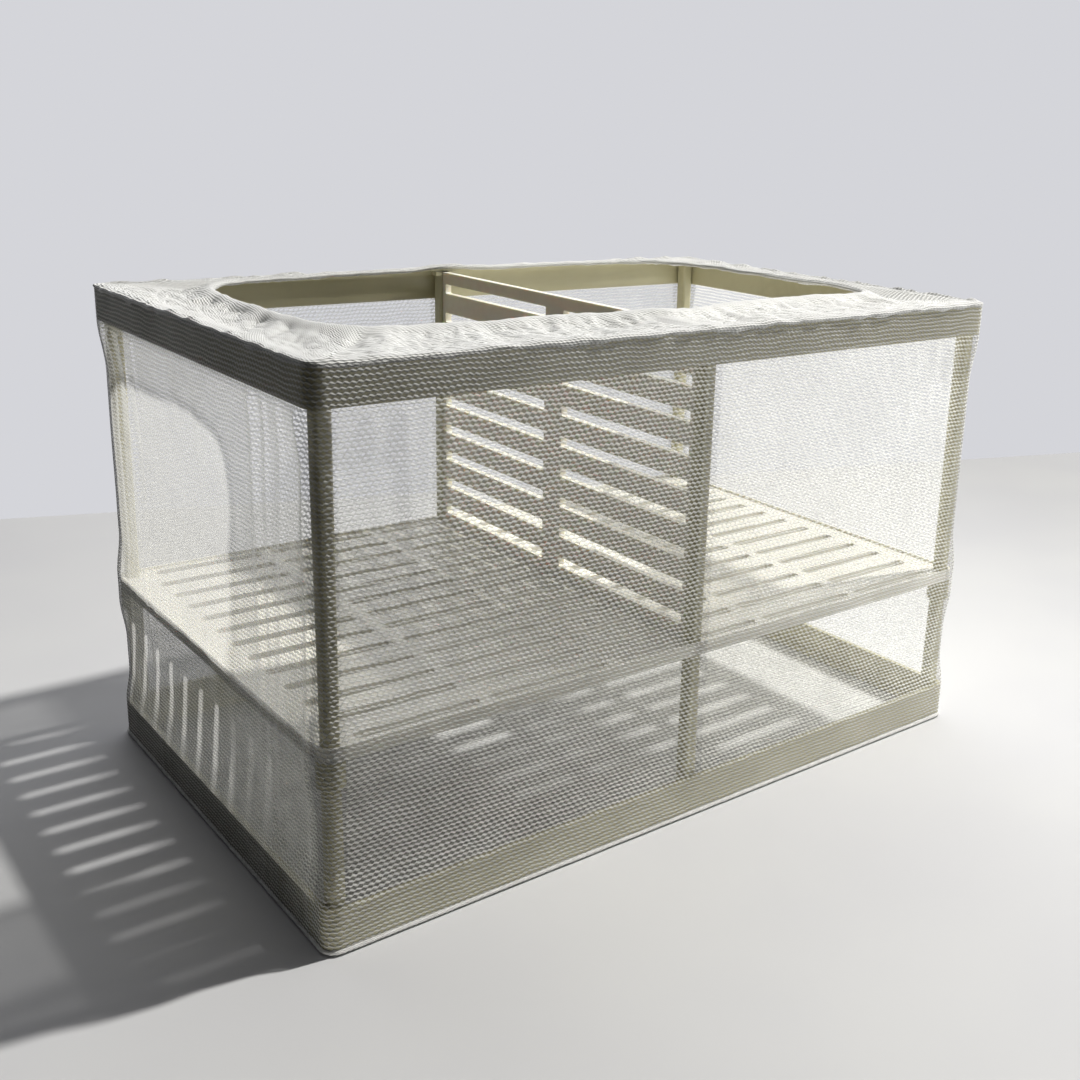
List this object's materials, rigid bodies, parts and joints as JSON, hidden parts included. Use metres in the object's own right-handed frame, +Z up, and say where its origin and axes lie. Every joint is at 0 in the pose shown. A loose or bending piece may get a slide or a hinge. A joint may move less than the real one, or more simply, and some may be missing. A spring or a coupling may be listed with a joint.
{
  "type": "fish breeding box",
  "caption": "Netted breeding box for an aquarium: a slotted shelf on posts between two frames, split by a slide-in slotted divider, inside a sewn net bag with an elastic mouth",
  "frame": {"origin": "middle of the underside of the floor net", "axes": "+X along the long side, +Y to the rear, +Z up"},
  "size_m": [0.25, 0.158, 0.1554],
  "materials": {
    "moulded_plastic": "satin moulded polypropylene",
    "divider_plastic": "satin moulded polypropylene",
    "net_fabric": "fine knitted nylon net",
    "hem_tape": "sewn polyester casing",
    "elastic": "flat elastic"
  },
  "bodies": {
    "frame": {"top_frame": "moulded_plastic", "bottom_frame": "moulded_plastic", "shelf_tray": "moulded_plastic", "upper_post_front_left": "moulded_plastic", "upper_post_front_right": "moulded_plastic", "upper_post_rear_left": "moulded_plastic", "upper_post_rear_right": "moulded_plastic", "upper_post_front_middle": "moulded_plastic", "upper_post_rear_middle": "moulded_plastic", "lower_post_front_left": "moulded_plastic", "lower_post_front_right": "moulded_plastic", "lower_post_rear_left": "moulded_plastic", "lower_post_rear_right": "moulded_plastic", "lower_post_front_middle": "moulded_plastic", "lower_post_rear_middle": "moulded_plastic", "net_floor": "net_fabric", "net_front": "net_fabric", "net_rear": "net_fabric", "net_left": "net_fabric", "net_right": "net_fabric", "net_mouth": "net_fabric", "net_hem": "hem_tape", "hem_elastic": "elastic"},
    "divider": {"divider": "divider_plastic"}
  },
  "joints": [
    {"name": "divider_lift", "type": "slide", "parent": "frame", "child": "divider", "axis": [0, 0, 1], "range_m": [0, 0.1], "deforming": ["net_mouth", "net_hem", "hem_elastic"]}
  ]
}
